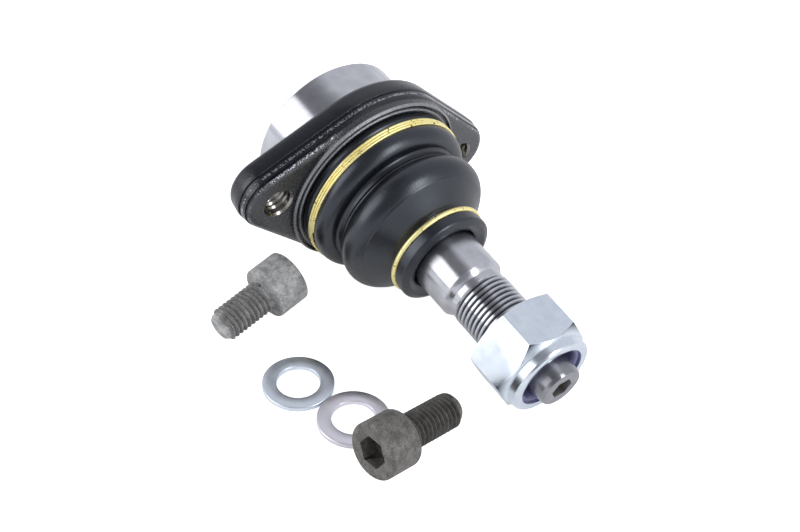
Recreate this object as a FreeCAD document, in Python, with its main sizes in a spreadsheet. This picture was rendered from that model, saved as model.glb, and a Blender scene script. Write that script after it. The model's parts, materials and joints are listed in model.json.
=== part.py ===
import FreeCAD, Part
import math
import os

import Sketcher
from FreeCAD import Placement, Rotation, Vector

# Front lower ball joint of a car's suspension, with its lock nut, two cap
# screws and two washers, as it lies on a table before it is fitted.
#
# The part's origin is the centre of the ball. +X is the way the stud points,
# seen from above, +Z is up and away from the table, +Y completes the set.
# The joint rests on its flange and on its lock nut, so its axis slopes down
# towards the stud's end by an angle that follows from the sizes.
#
# Every round piece is drawn as a half section in its own body, with x along
# the joint's axis from the ball's centre and y as the radius. All lengths
# are millimetres and all angles degrees.

SIZES = {
    # ball and stud
    "ball_radius": 15.0,
    "ball_flat_radius": 5.0,
    "stud_neck_radius": 8.25,
    "stud_neck_end": 14.0,
    "shank_radius": 10.15,
    "shank_start": 22.0,
    "shank_relief": 0.3,
    "seat_start": 41.4,
    "shank_end": 51.7,
    "shank_bevel_step": 0.1,
    "relief_start": 53.1,
    "relief_depth": 0.25,
    "thread_start": 55.7,
    "thread_radius": 9.0,
    "thread_end": 81.5,
    "thread_bevel": 0.9,
    "pilot_radius": 6.6,
    "pilot_bevel": 0.5,
    "pilot_bevel_length": 1.0,
    "stud_end": 91.0,
    "stud_socket_width": 6.0,
    "stud_socket_depth": 5.0,
    "stud_socket_cone": 1.2,
    # flange of the housing
    "flange_back": -7.5,
    "flange_thickness": 11.0,
    "parting_depth": 5.5,
    "flange_draft": 7.0,
    "flange_land": 0.9,
    "flange_edge_radius": 2.5,
    "bolt_reach": 4.8,
    "bolt_line_angle": 10.0,
    "ear_radius": 10.5,
    "bolt_hole_radius": 4.25,
    "bolt_hole_bevel": 0.6,
    # body of the housing
    "spigot_radius": 24.0,
    "spigot_bevel": 1.0,
    "collar_lip": 0.6,
    "collar_rise": 1.55,
    "collar_bevel": 0.5,
    "collar_groove_width": 1.0,
    "boot_shoulder_land": 1.0,
    "collar_groove_depth": 1.3,
    "boot_shoulder_rise": 0.25,
    "boot_shoulder_bevel": 0.3,
    "boot_seat_radius": 23.0,
    "boot_seat_length": 6.2,
    "boot_seat_bevel": 0.5,
    "seat_groove_depth": 0.8,
    "seat_groove_start": 2.9,
    "seat_groove_width": 2.2,
    "mouth_retention": 0.8,
    "mouth_flare": 1.8,
    "cover_ledge": 2.2,
    "cover_lip_reach": 1.2,
    "cover_lip_gap": 0.05,
    "cover_lip_thickness": 0.95,
    "back_relief_depth": 0.5,
    # bearing shell and end cover
    "ball_clearance": 0.05,
    "shell_wall": 2.2,
    "shell_clearance": 0.05,
    "shell_rim": 8.0,
    "shell_back_gap": 0.1,
    "cover_thickness": 2.6,
    "cover_dish_radius": 11.0,
    "cover_dish_depth": 0.8,
    "cover_dish_slope": 1.0,
    # rubber boot
    "boot_wall": 2.2,
    "boot_clearance": 0.3,
    "boot_base_wall": 2.6,
    "ring_groove_start": 2.45,
    "ring_groove_floor": 2.1,
    "fold_1_along": 6.5,
    "fold_1_radius": 4.1,
    "fold_1_rise": 2.5,
    "fold_2_along": 18.1,
    "fold_2_radius": 5.75,
    "fold_2_rise": 0.15,
    "crease_radius": 1.6,
    "neck_length": 2.2,
    "neck_wall": 3.4,
    "lip_along": 12.2,
    "lip_wall": 4.75,
    "lip_length": 5.4,
    "lip_slope": 1.2,
    "lip_slope_drop": 1.8,
    "lip_mouth_step": 1.75,
    "lip_mouth_depth": 2.8,
    "lip_heel": 1.3,
    # wire rings on the boot
    "large_wire": 0.84,
    "large_ring_turns": 3,
    "small_wire": 1.6,
    "wire_bevel": 0.3,
    "ring_clearance": 0.05,
    # lock nut
    "nut_back": 69.5,
    "nut_width": 27.0,
    "nut_hex_length": 14.4,
    "nut_crown_length": 3.0,
    "nut_back_bevel": 1.2,
    "nut_face_drop": 0.3,
    "nut_collar_wall": 1.1,
    "nut_length": 17.5,
    "nut_collar_round": 1.4,
    "nut_collar_round_flat": 0.45,
    "nut_lip_step": 1.07,
    "nut_lip_thickness": 1.0,
    "nut_thread_clearance": 0.05,
    "nut_countersink": 0.6,
    "insert_length": 4.0,
    "insert_wall": 3.05,
    "insert_grip": 0.5,
    "insert_clearance": 0.05,
    # cap screws
    "screw_radius": 5.0,
    "screw_head_radius": 8.0,
    "screw_head_length": 10.0,
    "screw_head_bevel": 0.7,
    "screw_seat_bevel": 0.45,
    "screw_socket_width": 8.0,
    "screw_socket_depth": 5.0,
    "screw_socket_cone": 1.5,
    "screw_end_bevel": 0.9,
    "screw_fillet": 0.6,
    "screw_1_length": 17.0,
    "screw_1_along": 9.46,
    "screw_1_beside": 12.82,
    "screw_1_yaw": 97.9,
    "screw_2_length": 20.0,
    "screw_2_along": 75.87,
    "screw_2_beside": 14.05,
    "screw_2_yaw": 277.1,
    # washers
    "washer_radius": 10.0,
    "washer_bore_radius": 6.0,
    "washer_thickness": 1.5,
    "washer_bevel": 0.2,
    "washer_1_along": 39.0,
    "washer_1_beside": 20.94,
    "washer_gap": 0.1,
    "washer_line_angle": 13.6,
}

doc = FreeCAD.newDocument("BallJoint")
sheet = doc.addObject("Spreadsheet::Sheet", "Sizes")
sheet.Label = "Sizes"
for row, (alias, value) in enumerate(SIZES.items(), start=1):
    sheet.set("A%d" % row, alias)
    sheet.set("B%d" % row, str(value))
    sheet.setAlias("B%d" % row, alias)
doc.recompute()


class Value:
    """A number together with the sheet expression that gives it."""

    def __init__(self, number, text):
        self.number = float(number)
        self.text = text

    def __add__(self, other):
        other = as_value(other)
        return Value(self.number + other.number, "(%s + %s)" % (self.text, other.text))

    def __sub__(self, other):
        other = as_value(other)
        return Value(self.number - other.number, "(%s - %s)" % (self.text, other.text))

    def __mul__(self, other):
        other = as_value(other)
        return Value(self.number * other.number, "(%s * %s)" % (self.text, other.text))

    def __truediv__(self, other):
        other = as_value(other)
        return Value(self.number / other.number, "(%s / %s)" % (self.text, other.text))

    def __neg__(self):
        return Value(-self.number, "(0 - %s)" % self.text)

    def __radd__(self, other):
        return as_value(other) + self

    def __rsub__(self, other):
        return as_value(other) - self

    def __rmul__(self, other):
        return as_value(other) * self


def as_value(number):
    if isinstance(number, Value):
        return number
    return Value(number, repr(float(number)))


def root(value):
    return Value(math.sqrt(value.number), "sqrt(%s)" % value.text)


def cosine(value):
    return Value(math.cos(math.radians(value.number)), "cos(%s * 1deg)" % value.text)


def sine(value):
    return Value(math.sin(math.radians(value.number)), "sin(%s * 1deg)" % value.text)


def tangent(value):
    return Value(math.tan(math.radians(value.number)), "tan(%s * 1deg)" % value.text)


def arctangent(value):
    return Value(math.degrees(math.atan(value.number)), "(atan(%s) / 1deg)" % value.text)


def arcsine(value):
    return Value(math.degrees(math.asin(value.number)), "(asin(%s) / 1deg)" % value.text)


def other_leg(hypotenuse, leg):
    return root(hypotenuse * hypotenuse - leg * leg)


class Named:
    """The sheet's sizes by name, each as a Value."""


size = Named()
for alias, value in SIZES.items():
    setattr(size, alias, Value(value, "Sizes." + alias))

ZERO = Value(0.0, "0")


class Corner:
    """A corner of an outline. drive names the coordinates that are set;
    smooth makes the edges on both sides tangent here."""

    def __init__(self, x, y, drive="xy", smooth=False):
        self.x = as_value(x)
        self.y = as_value(y)
        self.drive = drive
        self.smooth = smooth


class Bend:
    """A circular edge between the two corners beside it. turn is 1 for
    counter-clockwise and -1 for clockwise; drive names what is set of its
    centre (x, y) and radius (r)."""

    def __init__(self, x, y, radius, turn, drive="xyr"):
        self.x = as_value(x)
        self.y = as_value(y)
        self.radius = as_value(radius)
        self.turn = turn
        self.drive = drive


def new_body(label):
    body = doc.addObject("PartDesign::Body", label)
    body.Label = label
    return body


def new_sketch(body, name, plane):
    sketch = body.newObject("Sketcher::SketchObject", name)
    for feature in body.Origin.OriginFeatures:
        if feature.Role == plane:
            sketch.AttachmentSupport = [(feature, "")]
    sketch.MapMode = "FlatFace"
    return sketch


def lift_sketch(sketch, distance):
    """Moves a sketch off its plane, along the plane's normal."""
    sketch.AttachmentOffset = Placement(Vector(0, 0, distance.number), Rotation())
    sketch.setExpression("AttachmentOffset.Base.z", distance.text)


def drive_point(sketch, geometry, point, x, y, drive):
    """Binds a point's distance from the sketch's origin to the sheet."""
    if "x" in drive and x.text == "0":
        sketch.addConstraint(Sketcher.Constraint("PointOnObject", geometry, point, -2))
    elif "x" in drive:
        index = sketch.addConstraint(
            Sketcher.Constraint("DistanceX", -1, 1, geometry, point, x.number))
        sketch.setExpression("Constraints[%d]" % index, x.text)
    if "y" in drive and y.text == "0":
        sketch.addConstraint(Sketcher.Constraint("PointOnObject", geometry, point, -1))
    elif "y" in drive:
        index = sketch.addConstraint(
            Sketcher.Constraint("DistanceY", -1, 1, geometry, point, y.number))
        sketch.setExpression("Constraints[%d]" % index, y.text)


def drive_radius(sketch, geometry, radius):
    index = sketch.addConstraint(Sketcher.Constraint("Radius", geometry, radius.number))
    sketch.setExpression("Constraints[%d]" % index, radius.text)


def outline(body, name, plane, items):
    """Draws a closed outline of straight lines and bends in a new sketch."""
    sketch = new_sketch(body, name, plane)
    corners = [item for item in items if isinstance(item, Corner)]
    bend_after = {}
    for index, item in enumerate(items):
        if isinstance(item, Bend):
            bend_after[corners.index(items[index - 1])] = item
    edges = []
    for index, start in enumerate(corners):
        end = corners[(index + 1) % len(corners)]
        bend = bend_after.get(index)
        first = Vector(start.x.number, start.y.number, 0)
        last = Vector(end.x.number, end.y.number, 0)
        if bend is None:
            number = sketch.addGeometry(Part.LineSegment(first, last), False)
            edges.append((number, 1, 2))
            continue
        centre = Vector(bend.x.number, bend.y.number, 0)
        if bend.turn < 0:
            first, last = last, first
        angle_1 = math.atan2(first.y - centre.y, first.x - centre.x)
        angle_2 = math.atan2(last.y - centre.y, last.x - centre.x)
        circle = Part.Circle(centre, Vector(0, 0, 1), bend.radius.number)
        number = sketch.addGeometry(Part.ArcOfCircle(circle, angle_1, angle_2), False)
        edges.append((number, 1, 2) if bend.turn > 0 else (number, 2, 1))
        drive_point(sketch, number, 3, bend.x, bend.y, bend.drive)
        if "r" in bend.drive:
            drive_radius(sketch, number, bend.radius)
    for index, corner in enumerate(corners):
        number, start_point, _ = edges[index]
        before, _, end_point = edges[index - 1]
        kind = "Tangent" if corner.smooth else "Coincident"
        sketch.addConstraint(
            Sketcher.Constraint(kind, before, end_point, number, start_point))
        drive_point(sketch, number, start_point, corner.x, corner.y, corner.drive)
    doc.recompute()
    if sketch.solve() != 0:
        raise RuntimeError("sketch %s of %s can't be solved" % (name, body.Label))
    return sketch


def turn_section(body, name, sketch, kind):
    feature = body.newObject(kind, name)
    feature.Profile = sketch
    feature.ReferenceAxis = (sketch, ["H_Axis"])
    feature.Angle = 360.0
    sketch.Visibility = False
    doc.recompute()
    return feature


def revolve(body, name, items, kind="PartDesign::Revolution"):
    """Turns a half section, x along the axis and y as radius, about the axis."""
    sketch = outline(body, name + "Section", "XY_Plane", items)
    return turn_section(body, name, sketch, kind)


def cut_ring(body, name, items):
    """Turns a half section about the axis and takes it out of the body."""
    before = body.Shape.Volume
    feature = revolve(body, name, items, "PartDesign::Groove")
    if not body.Shape.Volume < before - 1e-3:
        raise RuntimeError("%s takes nothing out of %s" % (name, body.Label))
    return feature


def pad(body, name, sketch, length, backwards=False, draft=None):
    feature = body.newObject("PartDesign::Pad", name)
    feature.Profile = sketch
    feature.Length = length.number
    feature.setExpression("Length", length.text)
    feature.Reversed = backwards
    if draft is not None:
        feature.TaperAngle = -draft.number
        feature.setExpression("TaperAngle", "(0 - %s) * 1deg" % draft.text)
    sketch.Visibility = False
    doc.recompute()
    return feature


def pocket(body, name, sketch, length=None, backwards=False):
    """Takes a sketch's outline out of the body, to a depth or right through."""
    before = body.Shape.Volume
    feature = body.newObject("PartDesign::Pocket", name)
    feature.Profile = sketch
    feature.Reversed = backwards
    if length is None:
        feature.Type = "ThroughAll"
        feature.Midplane = True
    else:
        feature.Length = length.number
        feature.setExpression("Length", length.text)
    sketch.Visibility = False
    doc.recompute()
    if not body.Shape.Volume < before - 1e-3:
        raise RuntimeError("%s takes nothing out of %s" % (name, body.Label))
    return feature


def edges_where(body, test):
    return ["Edge%d" % (index + 1)
            for index, edge in enumerate(body.Tip.Shape.Edges) if test(edge)]


def dress(body, name, kind, edges, value):
    """Rounds or bevels the named edges of the body as it stands."""
    base = body.Tip
    feature = body.newObject(kind, name)
    feature.Base = (base, edges)
    prop = "Radius" if kind == "PartDesign::Fillet" else "Size"
    setattr(feature, prop, value.number)
    feature.setExpression(prop, value.text)
    base.Visibility = False
    doc.recompute()
    return feature


def hexagon(width):
    """Corners of a hexagon, two of them on the sketch's x axis."""
    corner = width / math.sqrt(3.0)
    half = corner / 2.0
    flat = width / 2.0
    return [Corner(corner, ZERO), Corner(half, flat), Corner(-half, flat),
            Corner(-corner, ZERO), Corner(-half, -flat), Corner(half, -flat)]


# Stations along the axis that several pieces share.

flange_front = size.flange_back + size.flange_thickness
parting = size.flange_back + size.parting_depth
collar_front = flange_front + size.collar_rise
shoulder = collar_front + size.boot_shoulder_rise
seat_end = shoulder + size.boot_seat_length
shell_inner = size.ball_radius + size.ball_clearance
shell_outer = shell_inner + size.shell_wall
bore = shell_outer + size.shell_clearance
bore_back = -(bore + size.shell_back_gap)
shell_back = bore_back + size.shell_back_gap
cover_back = bore_back - size.cover_thickness
lip_back = cover_back - size.cover_lip_gap
lip_end = lip_back - size.cover_lip_thickness
spigot_back = lip_end - size.back_relief_depth
cover_recess = bore + size.cover_ledge
mouth = size.ball_radius - size.mouth_retention
base_inner = size.boot_seat_radius + size.boot_clearance
base_outer = base_inner + size.boot_base_wall
collar_groove_inner = base_outer + size.boot_shoulder_land
collar_groove_outer = collar_groove_inner + size.collar_groove_width
collar_radius = collar_groove_outer + size.collar_lip
flange_middle_radius = collar_radius + size.flange_land
bolt_offset = flange_middle_radius + size.bolt_reach
lip_inner = size.shank_radius + size.boot_clearance
ring_width = size.large_wire * size.large_ring_turns + size.ring_clearance * 2.0
ring_floor = base_inner + size.ring_groove_floor
ring_groove = shoulder + size.ring_groove_start
fold_1 = shoulder + size.fold_1_along
fold_2 = shoulder + size.fold_2_along
neck_seat = lip_inner + size.neck_wall
lip_start = fold_2 + size.lip_along
nut_face = size.nut_back + size.nut_hex_length
nut_end = size.nut_back + size.nut_length

# How the joint lies. The lower edge of the flange has a rounding whose
# centre sits where the drafted side and the front face place it; the front
# edge of the nut's lower flat is the other point on the table. The slope of
# the axis is the slope of the line that touches both.

rounding_station = flange_front - size.flange_edge_radius
rounding_reach = (flange_middle_radius
                  - (rounding_station - parting) * tangent(size.flange_draft)
                  - size.flange_edge_radius / cosine(size.flange_draft))
nut_corner = size.nut_width / math.sqrt(3.0)
nut_face_radius = size.nut_width / 2.0 - size.nut_face_drop
nut_point = nut_face - (size.nut_crown_length * size.nut_face_drop
                        / (nut_corner - nut_face_radius))
reach_along = nut_point - rounding_station
reach_down = rounding_reach - size.nut_width / 2.0
rest_slope = (arctangent(reach_down / reach_along)
              + arcsine(size.flange_edge_radius
                        / root(reach_along * reach_along + reach_down * reach_down)))
table_depth = (rounding_station * sine(rest_slope)
               + rounding_reach * cosine(rest_slope)
               + size.flange_edge_radius)
table = -table_depth.number
JOINT_PLACE = Placement(Vector(0, 0, 0), Rotation(Vector(0, 1, 0), rest_slope.number))


def make_housing():
    """Forged housing: two-eared flange, pilot spigot behind it, collar and
    boot seat in front, and a stepped bore for the bearing shell."""
    body = new_body("housing")

    def flange_outline(name):
        sketch = new_sketch(body, name, "YZ_Plane")
        lift_sketch(sketch, parting)
        ear_y = bolt_offset * cosine(size.bolt_line_angle)
        ear_z = -bolt_offset * sine(size.bolt_line_angle)
        middle = flange_middle_radius
        spread = math.acos((middle.number - size.ear_radius.number)
                           / bolt_offset.number)
        lean = -math.radians(size.bolt_line_angle.number)
        arcs = []
        for centre, radius, facing in (
                (Vector(ear_y.number, ear_z.number, 0), size.ear_radius, 0.0),
                (Vector(0, 0, 0), middle, math.pi / 2),
                (Vector(-ear_y.number, -ear_z.number, 0), size.ear_radius, math.pi),
                (Vector(0, 0, 0), middle, -math.pi / 2)):
            half = spread if radius is size.ear_radius else math.pi / 2 - spread
            circle = Part.Circle(centre, Vector(0, 0, 1), radius.number)
            arc = Part.ArcOfCircle(circle, lean + facing - half, lean + facing + half)
            arcs.append((sketch.addGeometry(arc, False), arc))
        lines = []
        for index in range(4):
            _, arc = arcs[index]
            _, following = arcs[(index + 1) % 4]
            line = Part.LineSegment(arc.EndPoint, following.StartPoint)
            lines.append(sketch.addGeometry(line, False))
        for index in range(4):
            number, _ = arcs[index]
            following, _ = arcs[(index + 1) % 4]
            sketch.addConstraint(
                Sketcher.Constraint("Tangent", number, 2, lines[index], 1))
            sketch.addConstraint(
                Sketcher.Constraint("Tangent", lines[index], 2, following, 1))
        right, top, left, bottom = [number for number, _ in arcs]
        drive_point(sketch, right, 3, ear_y, ear_z, "xy")
        drive_point(sketch, left, 3, -ear_y, -ear_z, "xy")
        sketch.addConstraint(Sketcher.Constraint("Coincident", top, 3, -1, 1))
        sketch.addConstraint(Sketcher.Constraint("Coincident", bottom, 3, -1, 1))
        drive_radius(sketch, right, size.ear_radius)
        drive_radius(sketch, top, middle)
        sketch.addConstraint(Sketcher.Constraint("Equal", right, left))
        sketch.addConstraint(Sketcher.Constraint("Equal", top, bottom))
        doc.recompute()
        if sketch.solve() != 0:
            raise RuntimeError("the flange's outline can't be solved")
        return sketch

    # The forging's parting line runs round the middle of the flange's edge,
    # and both halves draw in from it.
    pad(body, "FlangeFront", flange_outline("FrontOutline"), flange_front - parting,
        draft=size.flange_draft)
    pad(body, "FlangeBack", flange_outline("BackOutline"), parting - size.flange_back,
        backwards=True, draft=size.flange_draft)

    def on_rim(edge):
        stations = [vertex.X for vertex in edge.Vertexes]
        return (max(abs(x - flange_front.number) for x in stations) < 1e-5
                or max(abs(x - size.flange_back.number) for x in stations) < 1e-5)

    dress(body, "FlangeRounding", "PartDesign::Fillet", edges_where(body, on_rim),
          size.flange_edge_radius)

    revolve(body, "Core", [
        Corner(spigot_back, ZERO),
        Corner(spigot_back, size.spigot_radius - size.spigot_bevel),
        Corner(spigot_back + size.spigot_bevel, size.spigot_radius),
        Corner(parting, size.spigot_radius),
        Corner(parting, collar_radius),
        Corner(collar_front - size.collar_bevel, collar_radius),
        Corner(collar_front, collar_radius - size.collar_bevel),
        Corner(collar_front, collar_groove_outer),
        Corner(collar_front - size.collar_groove_depth, collar_groove_outer),
        Corner(collar_front - size.collar_groove_depth, collar_groove_inner),
        Corner(shoulder - size.boot_shoulder_bevel, collar_groove_inner),
        Corner(shoulder, collar_groove_inner - size.boot_shoulder_bevel),
        Corner(shoulder, size.boot_seat_radius),
        Corner(shoulder + size.seat_groove_start, size.boot_seat_radius),
        Corner(shoulder + size.seat_groove_start,
               size.boot_seat_radius - size.seat_groove_depth),
        Corner(shoulder + size.seat_groove_start + size.seat_groove_width,
               size.boot_seat_radius - size.seat_groove_depth),
        Corner(shoulder + size.seat_groove_start + size.seat_groove_width,
               size.boot_seat_radius),
        Corner(seat_end - size.boot_seat_bevel, size.boot_seat_radius),
        Corner(seat_end, size.boot_seat_radius - size.boot_seat_bevel),
        Corner(seat_end, ZERO),
    ])

    # The bore is a cylinder behind the ball's centre and a sphere in front
    # of it. Its mouth is smaller than the ball, which holds the ball in.
    cut_ring(body, "Bore", [
        Corner(seat_end, ZERO),
        Corner(seat_end, mouth + size.mouth_flare),
        Corner(other_leg(bore, mouth), mouth, "y"),
        Bend(ZERO, ZERO, bore, 1),
        Corner(ZERO, bore, "x"),
        Corner(bore_back, bore, "x"),
        Corner(bore_back, cover_recess),
        Corner(lip_back, cover_recess),
        Corner(lip_back, cover_recess - size.cover_lip_reach),
        Corner(lip_end, cover_recess - size.cover_lip_reach),
        Corner(lip_end, cover_recess),
        Corner(spigot_back, cover_recess),
        Corner(spigot_back, ZERO),
    ])

    sketch = new_sketch(body, "BoltHoles", "YZ_Plane")
    lift_sketch(sketch, parting)
    for side in (1.0, -1.0):
        hole_y = side * bolt_offset * cosine(size.bolt_line_angle)
        hole_z = -side * bolt_offset * sine(size.bolt_line_angle)
        circle = Part.Circle(Vector(hole_y.number, hole_z.number, 0), Vector(0, 0, 1),
                             size.bolt_hole_radius.number)
        number = sketch.addGeometry(circle, False)
        drive_point(sketch, number, 3, hole_y, hole_z, "xy")
        drive_radius(sketch, number, size.bolt_hole_radius)
    pocket(body, "BoltHole", sketch)

    def on_hole(edge):
        return (isinstance(edge.Curve, Part.Circle)
                and abs(edge.Curve.Radius - size.bolt_hole_radius.number) < 1e-6
                and abs(edge.Curve.Center.y) > size.spigot_radius.number)

    dress(body, "BoltHoleBevel", "PartDesign::Chamfer", edges_where(body, on_hole),
          size.bolt_hole_bevel)
    return body


def make_end_cover():
    """Pressed disc that closes the housing behind the bearing shell."""
    body = new_body("end_cover")
    dish_floor = cover_back + size.cover_dish_depth
    dish_edge = size.cover_dish_radius + size.cover_dish_slope
    cover_radius = cover_recess - size.shell_clearance
    revolve(body, "Disc", [
        Corner(bore_back, ZERO),
        Corner(bore_back, cover_radius),
        Corner(cover_back, cover_radius),
        Corner(cover_back, dish_edge),
        Corner(dish_floor, size.cover_dish_radius),
        Corner(dish_floor, ZERO),
    ])
    return body


def make_bearing_shell():
    """Plastic cup round the ball, open to the front, drained at the back."""
    body = new_body("bearing_shell")
    revolve(body, "Cup", [
        Corner(shell_back, size.ball_flat_radius),
        Corner(shell_back, shell_outer),
        Corner(ZERO, shell_outer, "x"),
        Bend(ZERO, ZERO, shell_outer, -1),
        Corner(size.shell_rim, other_leg(shell_outer, size.shell_rim), "x"),
        Corner(size.shell_rim, other_leg(shell_inner, size.shell_rim), "x"),
        Bend(ZERO, ZERO, shell_inner, 1),
        Corner(-other_leg(shell_inner, size.ball_flat_radius),
               size.ball_flat_radius, "y"),
    ])
    return body


def make_ball_stud():
    """Ball, neck, ground shank, relief, thread and pilot in one forging. The
    thread is left at its outer diameter."""
    body = new_body("ball_stud")
    ball = size.ball_radius
    flat = size.ball_flat_radius
    neck = size.stud_neck_radius
    relief = size.thread_radius - size.relief_depth
    revolve(body, "Stud", [
        Corner(-other_leg(ball, flat), ZERO, "y"),
        Corner(-other_leg(ball, flat), flat, "y"),
        Bend(ZERO, ZERO, ball, -1),
        Corner(other_leg(ball, neck), neck, "y"),
        Corner(size.stud_neck_end, neck),
        Corner(size.shank_start, size.shank_radius - size.shank_relief),
        Corner(size.seat_start, size.shank_radius - size.shank_relief),
        Corner(size.seat_start, size.shank_radius),
        Corner(size.shank_end, size.shank_radius),
        Corner(size.relief_start, size.thread_radius + size.shank_bevel_step),
        Corner(size.relief_start, relief),
        Corner(size.thread_start, relief),
        Corner(size.thread_start, size.thread_radius),
        Corner(size.thread_end - size.thread_bevel, size.thread_radius),
        Corner(size.thread_end, size.thread_radius - size.thread_bevel),
        Corner(size.thread_end, size.pilot_radius),
        Corner(size.stud_end - size.pilot_bevel_length, size.pilot_radius),
        Corner(size.stud_end, size.pilot_radius - size.pilot_bevel),
        Corner(size.stud_end, ZERO),
    ])
    sketch = outline(body, "SocketOutline", "YZ_Plane", hexagon(size.stud_socket_width))
    lift_sketch(sketch, size.stud_end)
    pocket(body, "Socket", sketch, size.stud_socket_depth)
    floor = size.stud_end - size.stud_socket_depth
    cut_ring(body, "SocketPoint", [
        Corner(floor, ZERO),
        Corner(floor, size.stud_socket_width / 2.0),
        Corner(floor - size.stud_socket_cone, ZERO),
    ])
    return body


def touching_centre(first, first_radius, second, second_radius, radius):
    """Centre of the circle of a given radius that touches two others from
    outside, on the side nearer the axis."""
    a = first_radius + radius
    b = second_radius + radius
    span = math.hypot(second[0] - first[0], second[1] - first[1])
    along = (a * a - b * b + span * span) / (2.0 * span)
    across = math.sqrt(a * a - along * along)
    ux = (second[0] - first[0]) / span
    uy = (second[1] - first[1]) / span
    return (first[0] + ux * along + uy * across, first[1] + uy * along - ux * across)


def cone_from(centre, radius, foot):
    """The straight line that leaves a circle without a kink and comes down at
    a foot in front of it: its slope, and the point where it leaves."""
    along = foot[0] - centre[0]
    down = centre[1] - foot[1]
    slope = math.atan2(down, along) + math.asin(radius / math.hypot(along, down))
    return slope, (centre[0] + radius * math.sin(slope),
                   centre[1] + radius * math.cos(slope))


def towards(start, end, distance):
    """The point at a distance from start on the way to end."""
    span = math.hypot(end[0] - start[0], end[1] - start[1])
    return (start[0] + (end[0] - start[0]) * distance / span,
            start[1] + (end[1] - start[1]) * distance / span)


def make_dust_boot():
    """Rubber boot of even wall: a base clamped on the housing, two rolls
    with a deep crease between them, and a thick lip round the shank. The
    inside follows the outside at the wall's thickness, more plainly."""
    body = new_body("dust_boot")
    wall = size.boot_wall
    base_back = shoulder + size.boot_clearance
    groove_end = ring_groove + ring_width
    lip_outer = lip_inner + size.lip_wall
    lip_face = lip_start + size.lip_length

    # Heights of the centres of the two rolls. A cone runs from the second
    # roll down to the neck behind the lip and touches the roll.
    roll_1 = base_inner + size.fold_1_rise - size.fold_1_radius
    roll_2 = base_inner + size.fold_2_rise - size.fold_2_radius
    neck_start = lip_start - size.neck_length

    one = (fold_1.number, roll_1.number)
    two = (fold_2.number, roll_2.number)
    crease = touching_centre(one, size.fold_1_radius.number, two,
                             size.fold_2_radius.number, size.crease_radius.number)
    cone_slope, cone_top = cone_from(two, size.fold_2_radius.number,
                                     (neck_start.number, neck_seat.number))

    def meet(start, end, distance):
        x, y = towards(start, end, distance)
        return Corner(x, y, "", smooth=True)

    outer_1 = size.fold_1_radius
    outer_2 = size.fold_2_radius
    inner_1 = outer_1 - wall
    inner_2 = outer_2 - wall
    inner_crease = size.crease_radius + wall
    revolve(body, "Boot", [
        Corner(base_back, base_inner),
        Corner(base_back, base_outer),
        Corner(ring_groove, base_outer),
        Corner(ring_groove, ring_floor),
        Corner(groove_end, ring_floor),
        Corner(groove_end, roll_1 + other_leg(outer_1, fold_1 - groove_end), "x"),
        Bend(fold_1, roll_1, outer_1, -1),
        meet(one, crease, outer_1.number),
        Bend(crease[0], crease[1], size.crease_radius, 1, "r"),
        meet(two, crease, outer_2.number),
        Bend(fold_2, roll_2, outer_2, -1),
        Corner(cone_top[0], cone_top[1], "", smooth=True),
        Corner(neck_start, neck_seat),
        Corner(lip_start, neck_seat),
        Corner(lip_start, lip_outer),
        Corner(lip_face - size.lip_slope, lip_outer),
        Corner(lip_face, lip_outer - size.lip_slope_drop),
        Corner(lip_face, lip_inner + size.lip_mouth_step),
        Corner(lip_face - size.lip_mouth_depth, lip_inner),
        Corner(lip_start - size.lip_heel, lip_inner),
        Corner(neck_start - wall * math.tan(cone_slope / 2.0), neck_seat - wall),
        Corner(*towards(two, cone_top, inner_2.number)),
        Corner(fold_2, roll_2 + inner_2),
        Corner(fold_2 - inner_2 * 0.7, roll_2 + inner_2 * 0.7),
        Corner(fold_2 - inner_2, roll_2),
        Corner(crease[0] + inner_crease * 0.7, crease[1] - inner_crease * 0.7),
        Corner(crease[0] - inner_crease * 0.7, crease[1] - inner_crease * 0.7),
        Corner(*towards(one, crease, inner_1.number)),
        Corner(fold_1 + inner_1, roll_1),
        Corner(fold_1 + inner_1, base_inner),
    ])
    return body


def wire_ring(label, along, reach, wire, turns):
    """Ring of wire, its turns side by side, each with bevelled edges."""
    body = new_body(label)
    bevel = wire * size.wire_bevel
    crests = []
    for turn in range(turns):
        start = along + wire * turn
        crests.append(Corner(start, reach + wire - bevel))
        crests.append(Corner(start + bevel, reach + wire))
        crests.append(Corner(start + wire - bevel, reach + wire))
    end = along + wire * turns
    crests.append(Corner(end, reach + wire - bevel))
    revolve(body, "Winding", [Corner(along, reach)] + crests + [Corner(end, reach)])
    return body


def make_boot_ring_large():
    """Clamping ring, wound three times round the boot's base."""
    return wire_ring("boot_ring_large", ring_groove + size.ring_clearance,
                     ring_floor + size.ring_clearance, size.large_wire,
                     SIZES["large_ring_turns"])


def make_boot_ring_small():
    """Single ring that holds the boot's neck on the shank."""
    return wire_ring("boot_ring_small", lip_start - size.ring_clearance - size.small_wire,
                     neck_seat + size.ring_clearance, size.small_wire, 1)


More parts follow.
